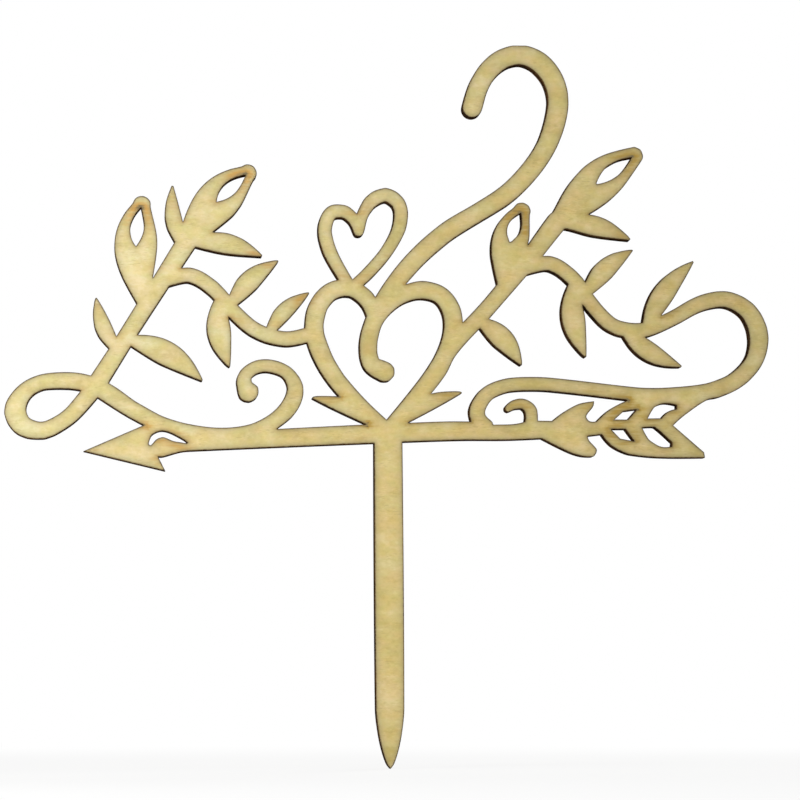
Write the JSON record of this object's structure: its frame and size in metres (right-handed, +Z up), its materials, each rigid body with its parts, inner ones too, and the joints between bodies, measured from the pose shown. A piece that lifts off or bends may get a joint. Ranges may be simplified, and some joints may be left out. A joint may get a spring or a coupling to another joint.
{
  "type": "cake topper",
  "caption": "Flat wooden cake topper cut from three-ply sheet: a feathered arrow on a pointed stake, with leafy sprays, hearts and swashes above it.",
  "frame": {"origin": "under the middle of the outline's width, on the sheet's middle plane, level with the tip of the stake", "axes": "+Z up along the stake, +X to the right along the arrow towards its feathers, -Y out of the front face"},
  "size_m": [0.1502, 0.003, 0.1422],
  "materials": {
    "face_veneer": "bare pale wood with fine grain running left to right, edges darkened by the cut",
    "core_veneer": "bare pale wood with grain running up and down, edges darkened by the cut",
    "glue_line": "thin dark set glue"
  },
  "bodies": {
    "root": {"front_face_veneer": "face_veneer", "front_glue_line": "glue_line", "core_veneer": "core_veneer", "back_glue_line": "glue_line", "back_face_veneer": "face_veneer"}
  },
  "joints": []
}
